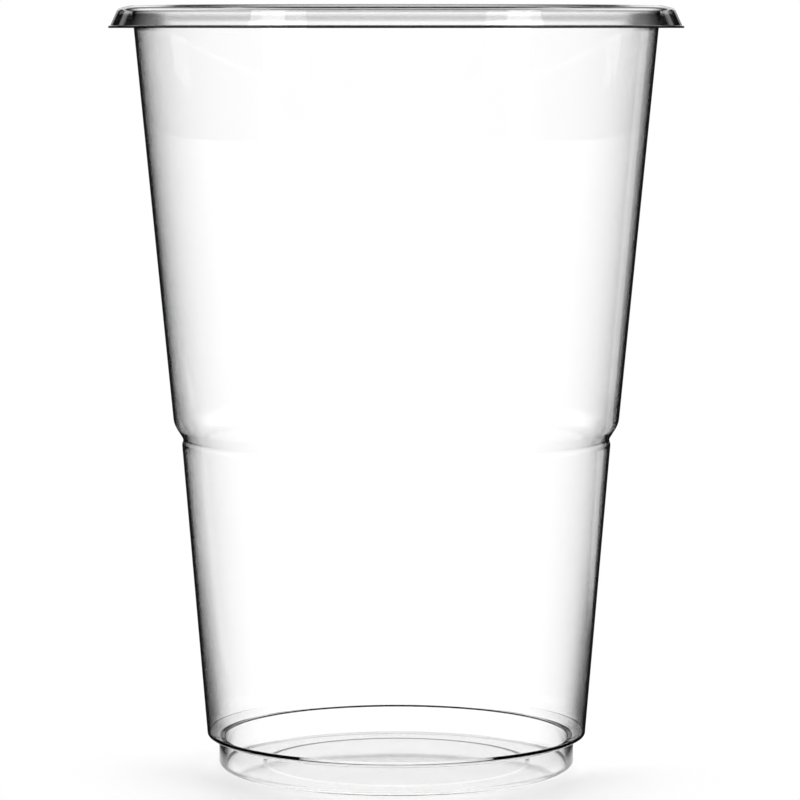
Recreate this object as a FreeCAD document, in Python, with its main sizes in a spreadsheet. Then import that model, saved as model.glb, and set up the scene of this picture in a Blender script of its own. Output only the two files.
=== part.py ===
import FreeCAD, Part
import math
import os

import Sketcher

# Clear disposable tumbler, moulded as one thin piece: a short foot with a shallow recess under
# its base, a sloping shoulder, a lower wall, a waist with a small notch and a step, an upper
# wall, and a rim folded outward and down with a thin lip under it. Its section is one closed
# outline, turned about Z.
# The origin is at the middle of the foot, on the surface that the cup stands on. +Z is up.

doc = FreeCAD.newDocument("disposable_cup")

# Driving dimensions, in millimetres and degrees.
DRIVING = [
    ("cup_height", 102.90, "floor to the crest of the rim, before it is rounded"),
    ("wall_thickness", 0.32, "side wall, measured level"),
    ("foot_diameter", 48.28, "outside of the foot at the floor"),
    ("foot_lean", 0.08, "how far the foot leans in at its top"),
    ("foot_wall", 0.70, "foot, outside at its top to inside"),
    ("base_thickness", 0.36, "base, outside the recess"),
    ("recess_diameter", 35.20, "shallow recess under the middle of the base"),
    ("recess_depth", 0.08, "recess, floor to its roof"),
    ("recess_slope", 0.60, "width of the slope round the recess"),
    ("shoulder_height", 4.42, "floor to the outer edge of the shoulder"),
    ("shoulder_overhang", 1.53, "shoulder, out past the foot at the floor"),
    ("shoulder_drop", 0.62, "fall of the shoulder from its outer edge to the foot"),
    ("shoulder_thickness", 0.50, "shoulder, outside to inside, measured upright"),
    ("lower_draft", 4.745, "lean of the lower wall"),
    ("waist_height", 43.95, "floor to the top of the lower wall"),
    ("notch_depth", 0.255, "notch, in from the lower wall"),
    ("notch_height", 0.65, "waist to the bottom of the notch"),
    ("step_width", 1.34, "step, out from the notch"),
    ("step_height", 2.15, "notch to the top of the step"),
    ("upper_draft", 5.472, "lean of the upper wall"),
    ("rim_height", 3.06, "crest of the rim to the underside of the lip"),
    ("rim_thickness", 0.35, "roof and skirt of the rim"),
    ("roof_width", 2.11, "crest to the outer edge of the roof"),
    ("roof_drop", 0.45, "fall of the roof to its outer edge"),
    ("skirt_draft", 24.40, "lean of the skirt under the roof"),
    ("lip_overhang", 0.26, "lip, out past the skirt"),
    ("lip_thickness", 0.30, "lip, top to bottom"),
    ("foot_round", 0.90, "outer bottom edge of the foot"),
    ("well_round", 0.35, "inside bottom edge of the foot"),
    ("recess_round", 1.50, "edges of the slope round the recess"),
    ("tuck_round", 0.12, "where the shoulder leaves the foot, and where the wall leaves the ledge"),
    ("shoulder_round", 0.32, "outer edge of the shoulder"),
    ("ledge_round", 0.12, "inner edge of the ledge"),
    ("waist_round", 0.85, "waist and notch"),
    ("step_round", 3.00, "top of the step"),
    ("channel_round", 0.45, "inside the folded rim"),
    ("crest_round", 0.35, "crest of the rim"),
    ("roof_round", 0.80, "outer edge of the roof"),
    ("lip_round", 0.10, "edges of the lip"),
]

# Radii and heights worked out from the driving dimensions. The channel is the space under the
# folded rim: its two corners are where lines one thickness inside the roof meet the wall and
# the inside of the skirt.
WORKED = [
    ("foot_radius", "dims.foot_diameter / 2"),
    ("foot_top_radius", "foot_radius - dims.foot_lean"),
    ("well_radius", "foot_top_radius - dims.foot_wall"),
    ("recess_radius", "dims.recess_diameter / 2"),
    ("recess_outside", "recess_radius + dims.recess_slope"),
    ("lower_tan", "tan(dims.lower_draft * 1 deg)"),
    ("upper_tan", "tan(dims.upper_draft * 1 deg)"),
    ("skirt_tan", "tan(dims.skirt_draft * 1 deg)"),
    ("shoulder_radius", "foot_radius + dims.shoulder_overhang"),
    ("shoulder_foot", "dims.shoulder_height - dims.shoulder_drop"),
    ("shoulder_fall", "dims.shoulder_drop / (shoulder_radius - foot_top_radius)"),
    ("ledge_level", "dims.shoulder_height + dims.shoulder_thickness"),
    ("ledge_radius", "shoulder_radius + lower_tan * dims.shoulder_thickness - dims.wall_thickness"),
    ("ledge_foot", "ledge_level - shoulder_fall * (ledge_radius - well_radius)"),
    ("waist_radius", "shoulder_radius + lower_tan * (dims.waist_height - dims.shoulder_height)"),
    ("notch_radius", "waist_radius - dims.notch_depth"),
    ("notch_level", "dims.waist_height + dims.notch_height"),
    ("step_radius", "notch_radius + dims.step_width"),
    ("step_level", "notch_level + dims.step_height"),
    ("wall_top_radius", "step_radius + upper_tan * (dims.cup_height - step_level)"),
    ("crest_radius", "wall_top_radius - dims.wall_thickness"),
    ("roof_radius", "crest_radius + dims.roof_width"),
    ("roof_level", "dims.cup_height - dims.roof_drop"),
    ("roof_fall", "dims.roof_drop / dims.roof_width"),
    ("roof_down", "dims.rim_thickness * sqrt(1 + roof_fall * roof_fall)"),
    ("skirt_across", "dims.rim_thickness * sqrt(1 + skirt_tan * skirt_tan)"),
    ("lip_bottom", "dims.cup_height - dims.rim_height"),
    ("lip_top", "lip_bottom + dims.lip_thickness"),
    ("skirt_radius", "roof_radius + skirt_tan * (roof_level - lip_top)"),
    ("skirt_inside", "skirt_radius + skirt_tan * dims.lip_thickness - skirt_across"),
    ("lip_radius", "skirt_radius + dims.lip_overhang"),
    ("channel_in_down", "(dims.wall_thickness * roof_fall + roof_down) / (1 + upper_tan * roof_fall)"),
    ("channel_in_radius", "wall_top_radius - upper_tan * channel_in_down"),
    ("channel_in_level", "dims.cup_height - channel_in_down"),
    ("channel_out_back", "(skirt_across - skirt_tan * roof_down) / (1 - skirt_tan * roof_fall)"),
    ("channel_out_radius", "roof_radius - channel_out_back"),
    ("channel_out_level", "roof_level - roof_down + roof_fall * channel_out_back"),
]

# The outline's corners, from the middle of the base out along the underside, up the outside,
# round the rim and down the inside: radius, height and rounding. An empty radius is on the
# axis, an empty height on the floor, and an empty rounding is a sharp corner.
CORNERS = [
    ("recess_middle", "", "dims.recess_depth", ""),
    ("recess_edge", "worked.recess_radius", "dims.recess_depth", "dims.recess_round"),
    ("recess_mouth", "worked.recess_outside", "", "dims.recess_round"),
    ("foot_bottom", "worked.foot_radius", "", "dims.foot_round"),
    ("foot_top", "worked.foot_top_radius", "worked.shoulder_foot", "dims.tuck_round"),
    ("shoulder", "worked.shoulder_radius", "dims.shoulder_height", "dims.shoulder_round"),
    ("waist", "worked.waist_radius", "dims.waist_height", "dims.waist_round"),
    ("notch", "worked.notch_radius", "worked.notch_level", "dims.waist_round"),
    ("step", "worked.step_radius", "worked.step_level", "dims.step_round"),
    ("channel_in", "worked.channel_in_radius", "worked.channel_in_level", "dims.channel_round"),
    ("channel_out", "worked.channel_out_radius", "worked.channel_out_level", "dims.channel_round"),
    ("skirt_foot", "worked.skirt_inside", "worked.lip_bottom", ""),
    ("lip_under", "worked.lip_radius", "worked.lip_bottom", "dims.lip_round"),
    ("lip_over", "worked.lip_radius", "worked.lip_top", "dims.lip_round"),
    ("lip_root", "worked.skirt_radius", "worked.lip_top", ""),
    ("roof_edge", "worked.roof_radius", "worked.roof_level", "dims.roof_round"),
    ("crest", "worked.crest_radius", "dims.cup_height", "dims.crest_round"),
    ("step_inside", "worked.step_radius - dims.wall_thickness", "worked.step_level", "dims.step_round"),
    ("notch_inside", "worked.notch_radius - dims.wall_thickness", "worked.notch_level", "dims.waist_round"),
    ("waist_inside", "worked.waist_radius - dims.wall_thickness", "dims.waist_height", "dims.waist_round"),
    ("ledge_outer", "worked.ledge_radius", "worked.ledge_level", "dims.tuck_round"),
    ("ledge_inner", "worked.well_radius", "worked.ledge_foot", "dims.ledge_round"),
    ("well_bottom", "worked.well_radius", "dims.base_thickness", "dims.well_round"),
    ("base_middle", "", "dims.base_thickness", ""),
]

ORIGIN = (-1, 1)
FLOOR_LINE = -1
AXIS_LINE = -2


def fill_sheet(name, rows):
    """A sheet with one row for each (alias, cell, note)."""
    sheet = doc.addObject("Spreadsheet::Sheet", name)
    for row, (alias, cell, note) in enumerate(rows, start=1):
        sheet.set(f"A{row}", note)
        sheet.set(f"B{row}", cell)
        sheet.setAlias(f"B{row}", alias)
    return sheet


def plane_of(body, role):
    """One of the body's own origin planes."""
    return next(item for item in body.Origin.OriginFeatures if item.Role == role)


def rounding_of(before, corner, after, radius):
    """Where an arc of this radius at the corner starts and ends, its centre, and whether it turns left."""
    arriving = (corner - before).normalize()
    leaving = (after - corner).normalize()
    turn = math.acos(max(-1.0, min(1.0, arriving.dot(leaving))))
    back = radius * math.tan(turn / 2)
    inward = (leaving - arriving).normalize()
    centre = corner + inward * (radius / math.cos(turn / 2))
    left = arriving.cross(leaving).z > 0
    return corner - arriving * back, corner + leaving * back, centre, left


def add_arc(sketch, start, end, centre, radius, left):
    """The arc's number in the sketch, and which of its ends the outline comes in by and leaves by."""
    first, last = (start, end) if left else (end, start)
    circle = Part.Circle(centre, FreeCAD.Vector(0, 0, 1), radius)
    angles = [math.atan2(spot.y - centre.y, spot.x - centre.x) for spot in (first, last)]
    if angles[1] < angles[0]:
        angles[1] += 2 * math.pi
    arc = sketch.addGeometry(Part.ArcOfCircle(circle, angles[0], angles[1]), False)
    return (arc, 1, 2) if left else (arc, 2, 1)


def bind(sketch, constraint, name, expression):
    """Adds a constraint with a name and binds its value to the expression."""
    index = sketch.addConstraint(constraint)
    sketch.renameConstraint(index, name)
    sketch.setExpression(f"Constraints.{name}", expression)


def place(sketch, spot, name, radius, height, at):
    """Holds a point of the sketch at its radius and height."""
    if radius:
        bind(sketch, Sketcher.Constraint("DistanceX", *ORIGIN, *spot, at.x), name + "_radius", radius)
    else:
        sketch.addConstraint(Sketcher.Constraint("PointOnObject", *spot, AXIS_LINE))
    if height:
        bind(sketch, Sketcher.Constraint("DistanceY", *ORIGIN, *spot, at.y), name + "_height", height)
    else:
        sketch.addConstraint(Sketcher.Constraint("PointOnObject", *spot, FLOOR_LINE))


def draw_outline(sketch, corners):
    """The closed outline through the corners, fully constrained."""
    def value(expression):
        return float(sketch.evalExpression(expression)) if expression else 0.0

    spots = [FreeCAD.Vector(value(radius), value(height), 0) for _, radius, height, _ in corners]
    starts, ends, arcs = [], [], []
    for index, (_, _, _, rounding) in enumerate(corners):
        corner = spots[index]
        start = end = corner
        arc = None
        if rounding:
            size = value(rounding)
            after = spots[(index + 1) % len(spots)]
            start, end, centre, left = rounding_of(spots[index - 1], corner, after, size)
            arc = add_arc(sketch, start, end, centre, size, left)
        starts.append(start)
        ends.append(end)
        arcs.append(arc)

    lines = []
    for index in range(len(corners)):
        following = (index + 1) % len(corners)
        lines.append(sketch.addGeometry(Part.LineSegment(ends[index], starts[following]), False))

    for index, (name, radius, height, rounding) in enumerate(corners):
        arriving, leaving = lines[index - 1], lines[index]
        spot = (arriving, 2)
        if rounding:
            arc, way_in, way_out = arcs[index]
            sketch.addConstraint(Sketcher.Constraint("Tangent", arriving, 2, arc, way_in))
            sketch.addConstraint(Sketcher.Constraint("Tangent", arc, way_out, leaving, 1))
            bind(sketch, Sketcher.Constraint("Radius", arc, value(rounding)), name + "_round", rounding)
            spot = (sketch.addGeometry(Part.Point(spots[index]), True), 1)
            sketch.addConstraint(Sketcher.Constraint("PointOnObject", *spot, arriving))
            sketch.addConstraint(Sketcher.Constraint("PointOnObject", *spot, leaving))
        else:
            sketch.addConstraint(Sketcher.Constraint("Coincident", arriving, 2, leaving, 1))
        place(sketch, spot, name, radius, height, spots[index])


def check(document):
    """Stops if anything in the document failed."""
    for item in document.Objects:
        if "Invalid" in item.State or "Error" in item.State:
            raise RuntimeError(f"{item.Label} failed: {item.State}")


fill_sheet("dims", [(alias, str(number), note) for alias, number, note in DRIVING])
fill_sheet("worked", [(alias, "=" + formula, alias.replace("_", " ")) for alias, formula in WORKED])
doc.recompute()

cup = doc.addObject("PartDesign::Body", "Cup")
cup.Label = "cup"
section = cup.newObject("Sketcher::SketchObject", "Section")
section.AttachmentSupport = (plane_of(cup, "XZ_Plane"), [""])
section.MapMode = "FlatFace"
draw_outline(section, CORNERS)
doc.recompute()

turned = cup.newObject("PartDesign::Revolution", "TurnedSection")
turned.Profile = section
turned.ReferenceAxis = (section, ["V_Axis"])
turned.Angle = 360
cup.Tip = turned
doc.recompute()

check(doc)
if not section.FullyConstrained:
    raise RuntimeError("the outline is not fully constrained")

os.makedirs("parts", exist_ok=True)
for body in (cup,):
    shape = body.Shape
    if shape.isNull() or not shape.isValid() or len(shape.Solids) != 1:
        raise RuntimeError(f"{body.Label} is not one valid solid")
    shape.exportStep(f"parts/{body.Label}.step")
    box = shape.BoundBox
    print(body.Label, "volume", round(shape.Volume, 1), "mm3, box", box)
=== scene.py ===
import math

import bpy
import numpy as np
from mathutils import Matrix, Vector


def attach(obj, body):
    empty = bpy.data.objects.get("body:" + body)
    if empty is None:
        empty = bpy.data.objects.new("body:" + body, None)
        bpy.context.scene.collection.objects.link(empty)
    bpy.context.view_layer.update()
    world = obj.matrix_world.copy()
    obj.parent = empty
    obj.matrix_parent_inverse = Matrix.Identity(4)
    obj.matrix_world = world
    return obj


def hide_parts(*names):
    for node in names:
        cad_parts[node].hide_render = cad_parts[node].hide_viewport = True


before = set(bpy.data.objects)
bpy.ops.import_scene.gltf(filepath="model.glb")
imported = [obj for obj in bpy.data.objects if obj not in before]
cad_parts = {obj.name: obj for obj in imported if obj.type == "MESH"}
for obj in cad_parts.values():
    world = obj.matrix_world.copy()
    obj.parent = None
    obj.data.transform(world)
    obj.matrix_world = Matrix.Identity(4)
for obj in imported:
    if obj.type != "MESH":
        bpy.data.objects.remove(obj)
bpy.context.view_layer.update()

# Clear disposable tumbler on a pale studio table. Lengths below are in millimetres, and MM
# turns them into the metres of the frame. The cup's origin is the middle of its foot.

MM = 0.001

# Section of the cup, with the same sizes as its solid
WALL = 0.32
CREST_HEIGHT = 102.90
FOOT_RADIUS = 24.14
FOOT_LEAN = 0.08
FOOT_WALL = 0.70
BASE = 0.36
RECESS_RADIUS = 17.60
RECESS_DEPTH = 0.08
RECESS_SLOPE = 0.60
SHOULDER_HEIGHT = 4.42
SHOULDER_OVERHANG = 1.53
SHOULDER_DROP = 0.62
SHOULDER = 0.50
LOWER_DRAFT = math.radians(4.745)
WAIST_HEIGHT = 43.95
NOTCH_DEPTH = 0.255
NOTCH_HEIGHT = 0.65
STEP_WIDTH = 1.34
STEP_HEIGHT = 2.15
UPPER_DRAFT = math.radians(5.472)
RIM_HEIGHT = 3.06
RIM = 0.35
ROOF_WIDTH = 2.11
ROOF_DROP = 0.45
SKIRT_DRAFT = math.radians(24.40)
LIP_OVERHANG = 0.26
LIP = 0.30
FOOT_ROUND = 0.90
WELL_ROUND = 0.35
RECESS_ROUND = 1.50
TUCK_ROUND = 0.12
SHOULDER_ROUND = 0.32
LEDGE_ROUND = 0.12
WAIST_ROUND = 0.85
STEP_ROUND = 3.00
CHANNEL_ROUND = 0.45
CREST_ROUND = 0.35
ROOF_ROUND = 0.80
LIP_ROUND = 0.10
EDGE_ROUND = 0.04

# Fineness of the surface: steps in a full turn, angle of one step in an arc, and the longest
# step in a straight run
TURN_STEPS = 360
ARC_STEP = math.radians(9.0)
RUN_STEP = 6.0

# Finish of the plastic and the shade painted into it. The painted shade is what the plastic loses
# of its tone. Heights and radii are measured from the cup's origin, and a wall counts as edge-on
# by how much it mirrors.
PLASTIC_IOR = 1.49
CLEAR_TONE = 0.998

# Painted shade on the edge-on walls, as pairs of height and share of tone lost
EDGE_MIRRORED = (0.07, 0.26)
EDGE_PAINTED_SHADES = (
    (0.0, 0.00),
    (4.0, 0.00),
    (6.0, 0.42),
    (16.0, 0.22),
    (30.0, 0.00),
    (42.5, 0.00),
    (44.0, 0.12),
    (48.5, 0.12),
    (52.0, 0.00),
    (99.5, 0.00),
    (99.9, 0.85),
    (101.5, 0.85),
    (101.9, 0.00),
    (103.0, 0.00),
)

# Painted shade on the outside of the foot, and on the skirt of the rim, where they turn aside
FOOT_END_SHADE = 0.85
FOOT_TURNED = (0.12, 0.30)
FOOT_OUTSIDE = (23.4, 23.7)
FOOT_HEIGHT = (0.05, 0.2, 3.5, 3.9)
SKIRT_END_SHADE = 0.85
SKIRT_TURNED = (0.075, 0.150)
SKIRT_HEIGHT = (99.9, 100.0, 101.5, 101.9)

# Painted shade: a dark line at the cut edge of the lip, a grey band in the skirt, and a faint grey
# on the panel over the recess
LIP_PAINTED_SHADE = 0.97
LIP_RADIUS = (37.6, 37.8)
LIP_HEIGHT = (100.10, 100.18)
SKIRT_PAINTED_SHADE = 0.12
SKIRT_BAND = (100.6, 101.0, 101.4, 101.7)
PANEL_PAINTED_SHADE = 0.03
PANEL_RADIUS = (17.4, 17.7)
BASE_TOP = (0.2, 0.3, 0.8, 1.2)

# Roughness of the top of the base, change of the roughness all over, and faint waves
BASE_DULL = 0.06
GLOSS_CHANGE = 0.01
WAVE_SCALE = 90.0
WAVE_DETAIL = 1.0
WAVE_HEIGHT = 0.02

# Light that the plastic lets through to the table, by how far it faces aside
SHADE_FACING = (0.3, 0.95)
SHADE_TONES = (0.97, 0.74)

# Studio light, in strengths where 1 is white. A direction is a unit vector, and its height is
# the sine of its elevation. The backdrop fades out between two heights. The cup mirrors a dim
# room with a low white band behind the cup, and a high one all round with a narrow window under
# it. Both bands are pairs of height and strength, and the low one fades out sideways, as the
# direction's x goes from the first of its sides to the second.
AMBIENT = 0.32
BACKDROP_LIGHT = 1.17
BACKDROP_TOP = (0.22, 0.42)
MIRRORED_LOW = (
    (-1.00, 0.00),
    (0.03, 0.00),
    (0.075, 1.00),
    (0.17, 1.00),
    (0.21, 0.00),
    (1.00, 0.00),
)
MIRRORED_LOW_SIDES = (0.15, 0.28)
MIRRORED_HIGH = (
    (-1.00, 0.00),
    (0.175, 0.00),
    (0.190, 0.50),
    (0.215, 0.50),
    (0.235, 0.00),
    (0.28, 0.00),
    (0.39, 1.00),
    (0.75, 1.00),
    (0.92, 0.00),
    (1.00, 0.00),
)
ROOM_LIGHT = 0.012

# Soft strip of painted light that glows on the table only for the cup to mirror: its light, its
# sides as x over the distance from the cup, and the distances between which it starts
STRIP_LIGHT = 0.4
STRIP_SIDES = (0.56, 0.60, 0.70, 0.74)
STRIP_REACH = (100, 160)

# Table: its size, its gap under the cup, its paint, how much of it glows white through the cup
# and how strongly, and the distances between which its own light gives way to plain white, as
# it is seen and as the cup mirrors it
TABLE_HALF = 3000
TABLE_GAP = 0.02
TABLE_TONE = 0.9
TABLE_ROUGHNESS = 0.5
THROUGH_SHARE = 0.8
TABLE_THROUGH = 1.25
TABLE_LIT = (27, 48)
TABLE_MIRRORED = (26, 33)

# Lamps: their places, sizes and powers, in watts
SOFTBOX_ASIDE = 700
SOFTBOX_BACK = 500
SOFTBOX_HEIGHT = 500
SOFTBOX_SIZE = (400, 600)
SOFTBOX_POWER = 3.5
SOFTBOX_TARGET = (0, 0, 50)
OVERHEAD_PLACE = (0, 140, 650)
OVERHEAD_SIZE = (300, 300)
OVERHEAD_POWER = 2.55
OVERHEAD_TARGET = (0, 0, 0)

# Camera, fitted to the rings of the cup in the photograph, and the reach of its view
IMAGE_SIDE = 800
CAMERA_BACK = 540.0
CAMERA_HEIGHT = 99.70
CAMERA_ASIDE = 0.50
CAMERA_DOWN = math.radians(5.284)
FOCAL_PIXELS = 4011.0
SENSOR = 36.0
VIEW_START = 50
VIEW_END = 20000


def section():
    """Corners of the cup's section as rows of (radius, height, rounding), in millimetres.

    They run from the middle of the base out along the underside, up the outside, over the
    rim, and down the inside. The walls lean by their drafts, the inside lies one wall in from
    the outside, and the underside of the folded rim lies one thickness under its top.
    """
    lower, upper, skirt = (math.tan(draft) for draft in (LOWER_DRAFT, UPPER_DRAFT, SKIRT_DRAFT))
    shoulder = FOOT_RADIUS + SHOULDER_OVERHANG
    tuck = FOOT_RADIUS - FOOT_LEAN
    tuck_level = SHOULDER_HEIGHT - SHOULDER_DROP
    slope = SHOULDER_DROP / (shoulder - tuck)
    ledge = SHOULDER_HEIGHT + SHOULDER
    ledge_radius = shoulder + lower * SHOULDER - WALL
    well = tuck - FOOT_WALL
    well_level = ledge - slope * (ledge_radius - well)
    waist = shoulder + lower * (WAIST_HEIGHT - SHOULDER_HEIGHT)
    notch = waist - NOTCH_DEPTH
    notch_level = WAIST_HEIGHT + NOTCH_HEIGHT
    step = notch + STEP_WIDTH
    step_level = notch_level + STEP_HEIGHT
    wall_top = step + upper * (CREST_HEIGHT - step_level)
    crest = wall_top - WALL
    roof = crest + ROOF_WIDTH
    roof_level = CREST_HEIGHT - ROOF_DROP
    fall = ROOF_DROP / ROOF_WIDTH
    roof_down = RIM * math.hypot(1, fall)
    skirt_across = RIM * math.hypot(1, skirt)
    lip_bottom = CREST_HEIGHT - RIM_HEIGHT
    lip_top = lip_bottom + LIP
    skirt_foot = roof + skirt * (roof_level - lip_top)
    skirt_inside = skirt_foot + skirt * LIP - skirt_across
    lip = skirt_foot + LIP_OVERHANG
    in_down = (WALL * fall + roof_down) / (1 + upper * fall)
    out_back = (skirt_across - skirt * roof_down) / (1 - skirt * fall)
    out_level = roof_level - roof_down + fall * out_back
    return [
        (0, RECESS_DEPTH, 0),
        (RECESS_RADIUS, RECESS_DEPTH, RECESS_ROUND),
        (RECESS_RADIUS + RECESS_SLOPE, 0, RECESS_ROUND),
        (FOOT_RADIUS, 0, FOOT_ROUND),
        (tuck, tuck_level, TUCK_ROUND),
        (shoulder, SHOULDER_HEIGHT, SHOULDER_ROUND),
        (waist, WAIST_HEIGHT, WAIST_ROUND),
        (notch, notch_level, WAIST_ROUND),
        (step, step_level, STEP_ROUND),
        (wall_top - upper * in_down, CREST_HEIGHT - in_down, CHANNEL_ROUND),
        (roof - out_back, out_level, CHANNEL_ROUND),
        (skirt_inside, lip_bottom, EDGE_ROUND),
        (lip, lip_bottom, LIP_ROUND),
        (lip, lip_top, LIP_ROUND),
        (skirt_foot, lip_top, EDGE_ROUND),
        (roof, roof_level, ROOF_ROUND),
        (crest, CREST_HEIGHT, CREST_ROUND),
        (step - WALL, step_level, STEP_ROUND),
        (notch - WALL, notch_level, WAIST_ROUND),
        (waist - WALL, WAIST_HEIGHT, WAIST_ROUND),
        (ledge_radius, ledge, TUCK_ROUND),
        (well, well_level, LEDGE_ROUND),
        (well, BASE, WELL_ROUND),
        (0, BASE, 0),
    ]


def rounded(corners):
    """Points along the outline through the corners, and the outline's outward normal at each.

    A rounded corner is an arc that touches both of its sides: its centre lies on the bisector,
    radius over the cosine of half the turn away. Straight runs are divided evenly. The normal
    is the arc's own radius there, so that it doesn't change where an arc meets a run.
    """
    spots = np.array([corner[:2] for corner in corners], float)
    points, normals = [], []
    for index, (_, _, radius) in enumerate(corners):
        spot = spots[index]
        if index in (0, len(corners) - 1):
            side = 1.0 if index else -1.0
            stops, facing = spot[None], np.array([[0.0, side]])
        else:
            arriving = spot - spots[index - 1]
            leaving = spots[index + 1] - spot
            arriving /= np.linalg.norm(arriving)
            leaving /= np.linalg.norm(leaving)
            cross = arriving[0] * leaving[1] - arriving[1] * leaving[0]
            turn = math.atan2(cross, float(arriving @ leaving))
            centre = spot + (leaving - arriving) / np.linalg.norm(leaving - arriving) * (
                radius / math.cos(turn / 2)
            )
            steps = max(3, math.ceil(abs(turn) / ARC_STEP))
            start = math.atan2(-arriving[0], arriving[1])
            angles = start + turn * np.arange(steps + 1) / steps
            facing = np.stack([np.cos(angles), np.sin(angles)], 1)
            stops = centre + facing * radius * math.copysign(1, turn)
        if points:
            last = points[-1][-1]
            length = np.linalg.norm(stops[0] - last)
            steps = max(1, math.ceil(length / RUN_STEP))
            share = (np.arange(1, steps) / steps)[:, None]
            points.append(last + (stops[0] - last) * share)
            normals.append(np.repeat(normals[-1][-1:], steps - 1, 0))
        points.append(stops)
        normals.append(facing)
    return np.concatenate(points), np.concatenate(normals)


def turned_mesh(name, points, normals):
    """The outline turned about Z: radius times (cosine, sine) of the turn, at the outline's
    height. Both ends lie on the axis, each as one point with a fan of triangles round it."""
    turns = np.arange(TURN_STEPS) * (2 * math.pi / TURN_STEPS)
    round_about = np.stack([np.cos(turns), np.sin(turns)], 1)
    rings = points[1:-1]

    def spin(values):
        level = np.repeat(values[:, 1], TURN_STEPS)
        across = (values[:, None, :1] * round_about[None]).reshape(-1, 2)
        return np.column_stack([across, level])

    places = np.concatenate([spin(rings), [[0, 0, points[0, 1]], [0, 0, points[-1, 1]]]]) * MM
    facing = np.concatenate([spin(normals[1:-1]), [[0, 0, -1.0], [0, 0, 1.0]]])

    here = np.arange(TURN_STEPS)
    after = (here + 1) % TURN_STEPS
    row = (np.arange(len(rings) - 1) * TURN_STEPS)[:, None]
    quads = np.stack([row + here, row + after, row + TURN_STEPS + after, row + TURN_STEPS + here], 2)
    bottom, top = len(rings) * TURN_STEPS, len(rings) * TURN_STEPS + 1
    last = (len(rings) - 1) * TURN_STEPS
    low_fan = np.stack([np.full(TURN_STEPS, bottom), after, here], 1)
    high_fan = np.stack([np.full(TURN_STEPS, top), last + here, last + after], 1)

    mesh = bpy.data.meshes.new(name)
    faces = quads.reshape(-1, 4).tolist() + low_fan.tolist() + high_fan.tolist()
    mesh.from_pydata(places.tolist(), [], faces)
    mesh.polygons.foreach_set("use_smooth", np.ones(len(faces), bool))
    mesh.normals_split_custom_set_from_vertices(facing.tolist())
    mesh.update()
    return mesh


def number(nodes, links, operation, *values):
    """The output of a Math node with these sockets or plain numbers as its inputs."""
    node = nodes.new("ShaderNodeMath")
    node.operation = operation
    for socket, value in zip(node.inputs, values):
        if isinstance(value, (int, float)):
            socket.default_value = value
        else:
            links.new(value, socket)
    return node.outputs[0]


def ramp(nodes, links, value, low, high, at_low, at_high):
    """A smooth step from at_low to at_high as the value goes from low to high."""
    node = nodes.new("ShaderNodeMapRange")
    node.interpolation_type = "SMOOTHSTEP"
    links.new(value, node.inputs["Value"])
    names = ("From Min", "From Max", "To Min", "To Max")
    for name, limit in zip(names, (low, high, at_low, at_high)):
        node.inputs[name].default_value = limit
    return node.outputs["Result"]


def band(nodes, links, value, rise_from, rise_to, fall_from, fall_to):
    """1 between rise_to and fall_from, with a smooth step down to 0 on either side."""
    rise = ramp(nodes, links, value, rise_from, rise_to, 0.0, 1.0)
    fall = ramp(nodes, links, value, fall_from, fall_to, 1.0, 0.0)
    return number(nodes, links, "MULTIPLY", rise, fall)


def pick(nodes, links, share, plain, other):
    """plain where share is 0, other where it is 1."""
    node = nodes.new("ShaderNodeMix")
    links.new(share, node.inputs[0])
    for socket, value in zip((node.inputs[2], node.inputs[3]), (plain, other)):
        if isinstance(value, (int, float)):
            socket.default_value = value
        else:
            links.new(value, socket)
    return node.outputs[0]


def profile(nodes, links, value, stops):
    """A curve through the stops, each a pair of (value, result), straight between them."""
    start, end = stops[0][0], stops[-1][0]
    share = nodes.new("ShaderNodeMapRange")
    links.new(value, share.inputs["Value"])
    share.inputs["From Min"].default_value = start
    share.inputs["From Max"].default_value = end
    curve = nodes.new("ShaderNodeValToRGB")
    elements = curve.color_ramp.elements
    while len(elements) < len(stops):
        elements.new(0.5)
    for element, (at, result) in zip(elements, stops):
        element.position = (at - start) / (end - start)
        element.color = (result, result, result, 1)
    links.new(share.outputs["Result"], curve.inputs["Fac"])
    return curve.outputs["Color"]


def grey(nodes, links, tone):
    """A colour with this tone in all three of its channels."""
    colour = nodes.new("ShaderNodeCombineColor")
    for channel in colour.inputs:
        links.new(tone, channel)
    return colour.outputs[0]


def places_in_mm(nodes, links):
    """The spot on the object in millimetres, as sockets for x, y, z and its distance from the
    axis: its metres over MM, and the root of x squared plus y squared."""
    where = nodes.new("ShaderNodeTexCoord")
    axes = nodes.new("ShaderNodeSeparateXYZ")
    links.new(where.outputs["Object"], axes.inputs[0])
    x, y, z = (number(nodes, links, "DIVIDE", axes.outputs[axis], MM) for axis in ("X", "Y", "Z"))
    squares = [number(nodes, links, "MULTIPLY", axis, axis) for axis in (x, y)]
    radius = number(nodes, links, "SQRT", number(nodes, links, "ADD", *squares))
    return x, y, z, radius


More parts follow.
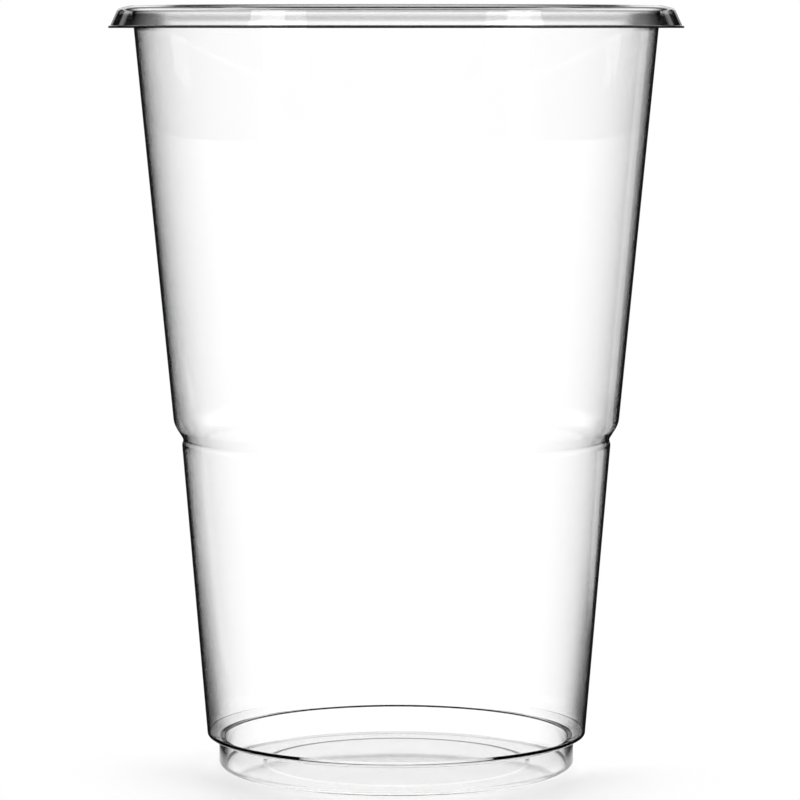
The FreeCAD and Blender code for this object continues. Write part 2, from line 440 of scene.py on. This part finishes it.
def painted_plastic_shade(nodes, links, height, radius):
    """Painted shade in the plastic: what it loses of its tone, the most of its painted shades at a spot.
    Edge-on walls get painted shade by a share for their height, the foot and the skirt of the rim
    most where they turn aside, and the cut edge of the lip, the middle of the skirt and the panel
    over the recess all round."""
    gloss = nodes.new("ShaderNodeFresnel")
    gloss.inputs["IOR"].default_value = PLASTIC_IOR
    mirrored = gloss.outputs[0]

    # Painted shade on the walls where they stand edge-on, by a share for their height
    edge_on = ramp(nodes, links, mirrored, *EDGE_MIRRORED, 0.0, 1.0)
    walls = number(nodes, links, "MULTIPLY", edge_on, profile(nodes, links, height, EDGE_PAINTED_SHADES))

    # Painted shade on the skirt of the rim where it turns aside
    skirt_aside_shade = ramp(nodes, links, mirrored, *SKIRT_TURNED, 0.0, SKIRT_END_SHADE)
    painted_skirt_ends = number(nodes, links, "MULTIPLY", skirt_aside_shade, band(nodes, links, height, *SKIRT_HEIGHT))

    # Painted shade on the outside of the foot where it turns aside
    foot_aside_shade = ramp(nodes, links, mirrored, *FOOT_TURNED, 0.0, FOOT_END_SHADE)
    painted_foot_shade = number(nodes, links, "MULTIPLY", foot_aside_shade, band(nodes, links, height, *FOOT_HEIGHT))
    outside = ramp(nodes, links, radius, *FOOT_OUTSIDE, 0.0, 1.0)
    painted_foot_shade = number(nodes, links, "MULTIPLY", painted_foot_shade, outside)

    # Painted grey band round the middle of the skirt
    skirt = number(nodes, links, "MULTIPLY", band(nodes, links, height, *SKIRT_BAND), SKIRT_PAINTED_SHADE)

    # Painted dark line along the cut edge of the lip
    lip_shade_out = ramp(nodes, links, radius, *LIP_RADIUS, 0.0, LIP_PAINTED_SHADE)
    lip = number(nodes, links, "MULTIPLY", lip_shade_out, ramp(nodes, links, height, *LIP_HEIGHT, 1.0, 0.0))

    # Painted grey shade on the panel over the recess
    panel_shade_in = ramp(nodes, links, radius, *PANEL_RADIUS, PANEL_PAINTED_SHADE, 0.0)
    panel = number(nodes, links, "MULTIPLY", panel_shade_in, band(nodes, links, height, *BASE_TOP))

    # The darkest of the painted shades at the spot
    darkest_painted_shade = walls
    for other in (painted_skirt_ends, painted_foot_shade, skirt, lip, panel):
        darkest_painted_shade = number(nodes, links, "MAXIMUM", darkest_painted_shade, other)
    return darkest_painted_shade


def clear_plastic():
    """Clear moulded plastic, with shade painted into its colour at its edges, rim, lip and base.
    The top of the base is less polished than the walls, faint waves run over all of it, and its
    shadow is a pale grey."""
    material = bpy.data.materials.new("clear_plastic")
    material.use_nodes = True
    nodes, links = material.node_tree.nodes, material.node_tree.links
    nodes.clear()
    output = nodes.new("ShaderNodeOutputMaterial")
    plastic = nodes.new("ShaderNodeBsdfPrincipled")
    plastic.inputs["Transmission Weight"].default_value = 1.0
    plastic.inputs["IOR"].default_value = PLASTIC_IOR

    _, _, height, radius = places_in_mm(nodes, links)
    # The plastic's colour is its clear tone less the painted shade
    tone = number(nodes, links, "SUBTRACT", CLEAR_TONE, painted_plastic_shade(nodes, links, height, radius))
    links.new(grey(nodes, links, tone), plastic.inputs["Base Color"])

    where = nodes.new("ShaderNodeTexCoord")
    waves = nodes.new("ShaderNodeTexNoise")
    waves.inputs["Scale"].default_value = WAVE_SCALE
    waves.inputs["Detail"].default_value = WAVE_DETAIL
    links.new(where.outputs["Object"], waves.inputs["Vector"])
    bump = nodes.new("ShaderNodeBump")
    bump.inputs["Distance"].default_value = WAVE_HEIGHT * MM
    links.new(waves.outputs["Fac"], bump.inputs["Height"])
    links.new(bump.outputs["Normal"], plastic.inputs["Normal"])

    dull = number(nodes, links, "MULTIPLY", band(nodes, links, height, *BASE_TOP), BASE_DULL)
    change = number(nodes, links, "MULTIPLY", waves.outputs["Fac"], GLOSS_CHANGE)
    links.new(number(nodes, links, "ADD", dull, change), plastic.inputs["Roughness"])

    path = nodes.new("ShaderNodeLightPath")
    shade = nodes.new("ShaderNodeBsdfTransparent")
    facing = nodes.new("ShaderNodeLayerWeight").outputs["Facing"]
    passed = ramp(nodes, links, facing, *SHADE_FACING, *SHADE_TONES)
    links.new(grey(nodes, links, passed), shade.inputs["Color"])
    mix = nodes.new("ShaderNodeMixShader")
    links.new(path.outputs["Is Shadow Ray"], mix.inputs[0])
    links.new(plastic.outputs[0], mix.inputs[1])
    links.new(shade.outputs[0], mix.inputs[2])
    links.new(mix.outputs[0], output.inputs["Surface"])
    return material


def add_cup():
    """The whole cup as one closed surface."""
    points, normals = rounded(section())
    cup = bpy.data.objects.new("clear_cup", turned_mesh("clear_cup", points, normals))
    bpy.context.collection.objects.link(cup)
    cup.data.materials.append(clear_plastic())
    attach(cup, "root")
    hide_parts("cup")
    return cup


def ray_kinds(nodes, links):
    """What a ray did since the camera, as three sockets that are 0 or 1: it is the camera's
    own, it only passed through clear pieces, or it was mirrored in a surface on its way. The
    glossy depth counts mirrorings alone, because a sharp refraction also makes a glossy ray."""
    path = nodes.new("ShaderNodeLightPath")
    camera = path.outputs["Is Camera Ray"]
    lit = number(nodes, links, "GREATER_THAN", path.outputs["Diffuse Depth"], 0.5)
    glossy = path.outputs["Glossy Depth"]
    through = path.outputs["Is Transmission Ray"]
    mirrored = number(nodes, links, "GREATER_THAN", number(nodes, links, "SUBTRACT", glossy, lit), 0.5)
    clean = number(nodes, links, "GREATER_THAN", 0.5, number(nodes, links, "ADD", glossy, lit))
    return camera, number(nodes, links, "MULTIPLY", through, clean), mirrored


def add_world():
    """Soft light for the table, a white backdrop behind the cup, and in the cup's gloss a dim
    room with two white bands."""
    world = bpy.data.worlds.new("studio")
    bpy.context.scene.world = world
    world.cycles.sampling_method = "NONE"
    world.use_nodes = True
    nodes, links = world.node_tree.nodes, world.node_tree.links
    nodes.clear()
    output = nodes.new("ShaderNodeOutputWorld")
    background = nodes.new("ShaderNodeBackground")
    background.inputs["Color"].default_value = (1, 1, 1, 1)
    where = nodes.new("ShaderNodeTexCoord")
    axes = nodes.new("ShaderNodeSeparateXYZ")
    links.new(where.outputs["Generated"], axes.inputs[0])
    camera, through, mirrored = ray_kinds(nodes, links)
    height = axes.outputs["Z"]
    backdrop = ramp(nodes, links, height, *BACKDROP_TOP, BACKDROP_LIGHT, ROOM_LIGHT)
    aside = number(nodes, links, "ABSOLUTE", axes.outputs["X"])
    low = profile(nodes, links, height, MIRRORED_LOW)
    within = ramp(nodes, links, aside, *MIRRORED_LOW_SIDES, 1.0, 0.0)
    behind = number(nodes, links, "GREATER_THAN", axes.outputs["Y"], 0.0)
    low = number(nodes, links, "MULTIPLY", low, number(nodes, links, "MULTIPLY", within, behind))
    white = number(nodes, links, "ADD", low, profile(nodes, links, height, MIRRORED_HIGH))
    room = number(nodes, links, "ADD", white, ROOM_LIGHT)
    strength = pick(nodes, links, through, AMBIENT, backdrop)
    strength = pick(nodes, links, mirrored, strength, room)
    strength = pick(nodes, links, camera, strength, 1.0)
    links.new(strength, background.inputs["Strength"])
    links.new(background.outputs[0], output.inputs["Surface"])


def strip_light(nodes, links, x, y, away):
    """The light that the cup mirrors from the table, painted as a glow: dim, but for one soft strip
    that runs out from the cup to the back and right. It lies between two values of x over the distance."""
    side = number(nodes, links, "DIVIDE", x, away)
    behind = number(nodes, links, "GREATER_THAN", y, 0.0)
    strip = number(nodes, links, "MULTIPLY", band(nodes, links, side, *STRIP_SIDES), behind)
    start = ramp(nodes, links, away, *STRIP_REACH, 0.0, STRIP_LIGHT)
    strip = number(nodes, links, "MULTIPLY", strip, start)
    return number(nodes, links, "ADD", strip, ROOM_LIGHT)


def add_floor():
    """A pale table. Near the cup it is lit and keeps the cup's shadow, and further out it is
    plain white to the camera and through the cup."""
    half = TABLE_HALF * MM
    mesh = bpy.data.meshes.new("table")
    level = -TABLE_GAP * MM
    corners = [(-half, -half, level), (half, -half, level), (half, half, level), (-half, half, level)]
    mesh.from_pydata(corners, [], [(0, 1, 2, 3)])
    table = bpy.data.objects.new("table", mesh)
    bpy.context.collection.objects.link(table)
    material = bpy.data.materials.new("pale_table")
    table.data.materials.append(material)
    material.use_nodes = True
    nodes, links = material.node_tree.nodes, material.node_tree.links
    nodes.clear()
    output = nodes.new("ShaderNodeOutputMaterial")
    plain = nodes.new("ShaderNodeBsdfPrincipled")
    plain.inputs["Base Color"].default_value = (TABLE_TONE, TABLE_TONE, TABLE_TONE, 1)
    plain.inputs["Roughness"].default_value = TABLE_ROUGHNESS
    white = nodes.new("ShaderNodeEmission")
    x, y, _, away = places_in_mm(nodes, links)
    camera, through, mirrored = ray_kinds(nodes, links)
    far = ramp(nodes, links, away, *TABLE_LIT, 0.0, 1.0)
    strength = pick(nodes, links, through, 1.0, TABLE_THROUGH)
    # In the cup's gloss the table shows a painted glowing strip
    strength = pick(nodes, links, mirrored, strength, strip_light(nodes, links, x, y, away))
    links.new(strength, white.inputs["Strength"])
    share = pick(nodes, links, camera, 0.0, far)
    share = pick(nodes, links, through, share, number(nodes, links, "MAXIMUM", far, THROUGH_SHARE))
    gone = ramp(nodes, links, away, *TABLE_MIRRORED, 0.0, 1.0)
    share = pick(nodes, links, mirrored, share, gone)
    mix = nodes.new("ShaderNodeMixShader")
    links.new(share, mix.inputs[0])
    links.new(plain.outputs[0], mix.inputs[1])
    links.new(white.outputs[0], mix.inputs[2])
    links.new(mix.outputs[0], output.inputs["Surface"])
    return table


def add_camera():
    """A long lens a little above the lip, looking slightly down."""
    data = bpy.data.cameras.new("camera")
    data.sensor_width = SENSOR
    data.lens = FOCAL_PIXELS * SENSOR / IMAGE_SIDE
    data.clip_start = VIEW_START * MM
    data.clip_end = VIEW_END * MM
    camera = bpy.data.objects.new("camera", data)
    bpy.context.collection.objects.link(camera)
    camera.location = Vector((CAMERA_ASIDE, -CAMERA_BACK, CAMERA_HEIGHT)) * MM
    camera.rotation_euler = (math.pi / 2 - CAMERA_DOWN, 0, 0)
    bpy.context.scene.camera = camera


def add_softbox(name, place, size, power, target):
    """A rectangular lamp that faces the target and can't be seen, even through the plastic."""
    data = bpy.data.lights.new(name, "AREA")
    data.shape = "RECTANGLE"
    data.size, data.size_y = size[0] * MM, size[1] * MM
    data.energy = power
    lamp = bpy.data.objects.new(name, data)
    bpy.context.collection.objects.link(lamp)
    lamp.location = Vector(place) * MM
    aim = Vector(target) * MM - lamp.location
    lamp.rotation_euler = aim.to_track_quat("-Z", "Y").to_euler()
    lamp.visible_camera = False
    lamp.visible_transmission = False
    return lamp


bpy.context.scene.view_settings.view_transform = "Standard"
add_camera()
add_world()
add_floor()
add_cup()
for side, across in (("left", -SOFTBOX_ASIDE), ("right", SOFTBOX_ASIDE)):
    place = (across, -SOFTBOX_BACK, SOFTBOX_HEIGHT)
    add_softbox("softbox_" + side, place, SOFTBOX_SIZE, SOFTBOX_POWER, SOFTBOX_TARGET)
overhead = add_softbox(
    "softbox_overhead", OVERHEAD_PLACE, OVERHEAD_SIZE, OVERHEAD_POWER, OVERHEAD_TARGET
)
overhead.visible_glossy = False
